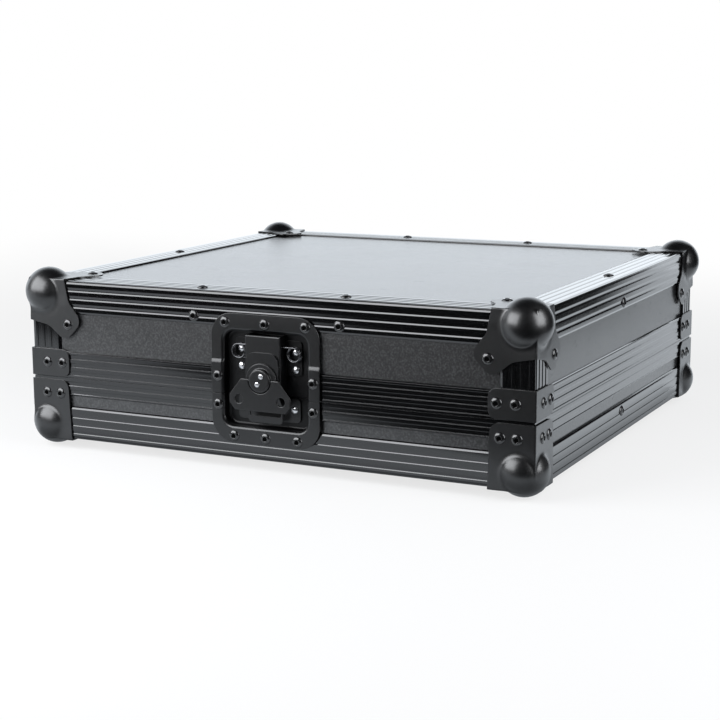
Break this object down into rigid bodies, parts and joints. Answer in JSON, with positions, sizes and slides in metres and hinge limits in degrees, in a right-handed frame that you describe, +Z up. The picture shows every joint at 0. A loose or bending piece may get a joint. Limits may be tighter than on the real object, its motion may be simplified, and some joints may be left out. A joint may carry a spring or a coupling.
{
  "type": "mixer flight case",
  "caption": "Low black road case for a mixing desk with ribbed aluminium edges, steel ball corners, a lid hinged at the back and a recessed butterfly latch at the front.",
  "frame": {"origin": "middle of the footprint, on the ground under the rubber feet", "axes": "+X to the right along the front, +Y from the latch at the front to the hinges at the back, +Z up"},
  "size_m": [0.5006, 0.476, 0.1633],
  "materials": {
    "laminate": "plywood faced with a fine grained matte black laminate",
    "anodised": "satin black anodised",
    "coated_steel": "semi gloss black coating",
    "spring_steel": "blackened wire",
    "rubber": "matte",
    "foam": "charcoal open cell foam"
  },
  "bodies": {
    "base": {"base_floor_panel": "laminate", "base_wall_front": "laminate", "base_edge_front": "anodised", "base_rail_front": "anodised", "base_wall_rear": "laminate", "base_edge_rear": "anodised", "base_rail_rear": "anodised", "base_wall_left": "laminate", "base_edge_left": "anodised", "base_rail_left": "anodised", "base_wall_right": "laminate", "base_edge_right": "anodised", "base_rail_right": "anodised", "base_ball_corner_front_left": "coated_steel", "foot_front_left": "rubber", "base_ball_corner_front_right": "coated_steel", "foot_front_right": "rubber", "base_ball_corner_rear_right": "coated_steel", "foot_rear_right": "rubber", "base_ball_corner_rear_left": "coated_steel", "foot_rear_left": "rubber", "hinge_base_leaf_left": "coated_steel", "hinge_base_leaf_right": "coated_steel", "base_foam": "foam", "base_latch_dish": "coated_steel", "latch_keeper": "coated_steel"},
    "lid": {"lid_top_panel": "laminate", "lid_wall_front": "laminate", "lid_edge_front": "anodised", "lid_rail_front": "anodised", "lid_wall_rear": "laminate", "lid_edge_rear": "anodised", "lid_rail_rear": "anodised", "lid_wall_left": "laminate", "lid_edge_left": "anodised", "lid_rail_left": "anodised", "lid_wall_right": "laminate", "lid_edge_right": "anodised", "lid_rail_right": "anodised", "lid_ball_corner_front_left": "coated_steel", "lid_brace_front_left": "coated_steel", "lid_post_front_left": "anodised", "lid_ball_corner_front_right": "coated_steel", "lid_brace_front_right": "coated_steel", "lid_post_front_right": "anodised", "lid_ball_corner_rear_right": "coated_steel", "lid_brace_rear_right": "coated_steel", "lid_post_rear_right": "anodised", "lid_ball_corner_rear_left": "coated_steel", "lid_brace_rear_left": "coated_steel", "lid_post_rear_left": "anodised", "hinge_lid_leaf_left": "coated_steel", "hinge_lid_leaf_right": "coated_steel", "lid_foam": "foam", "lid_latch_dish": "coated_steel", "latch_plate": "coated_steel", "latch_spring": "spring_steel"},
    "draw_plate": {"draw_plate": "coated_steel"},
    "rotor": {"latch_rotor": "coated_steel"},
    "wing": {"latch_wing": "coated_steel"}
  },
  "joints": [
    {"name": "lid_hinge", "type": "hinge", "parent": "base", "child": "lid", "pos_m": [0, 0.229, 0.0658], "axis": [-1, 0, 0], "range_deg": [0, 100]},
    {"name": "latch_turn", "type": "hinge", "parent": "lid", "child": "rotor", "pos_m": [0, -0.225, 0.0813], "axis": [0, -1, 0], "range_deg": [0, 180]},
    {"name": "latch_slide", "type": "slide", "parent": "lid", "child": "draw_plate", "axis": [0, 0, -1], "range_m": [0, 0.004]},
    {"name": "wing_fold", "type": "hinge", "parent": "rotor", "child": "wing", "pos_m": [0, -0.2358, 0.0813], "axis": [-1, 0, 0], "range_deg": [0, 90]}
  ],
  "couplings": [
    {"joint": "latch_slide", "follows": "latch_turn", "m_per_rad": 0.00127}
  ]
}
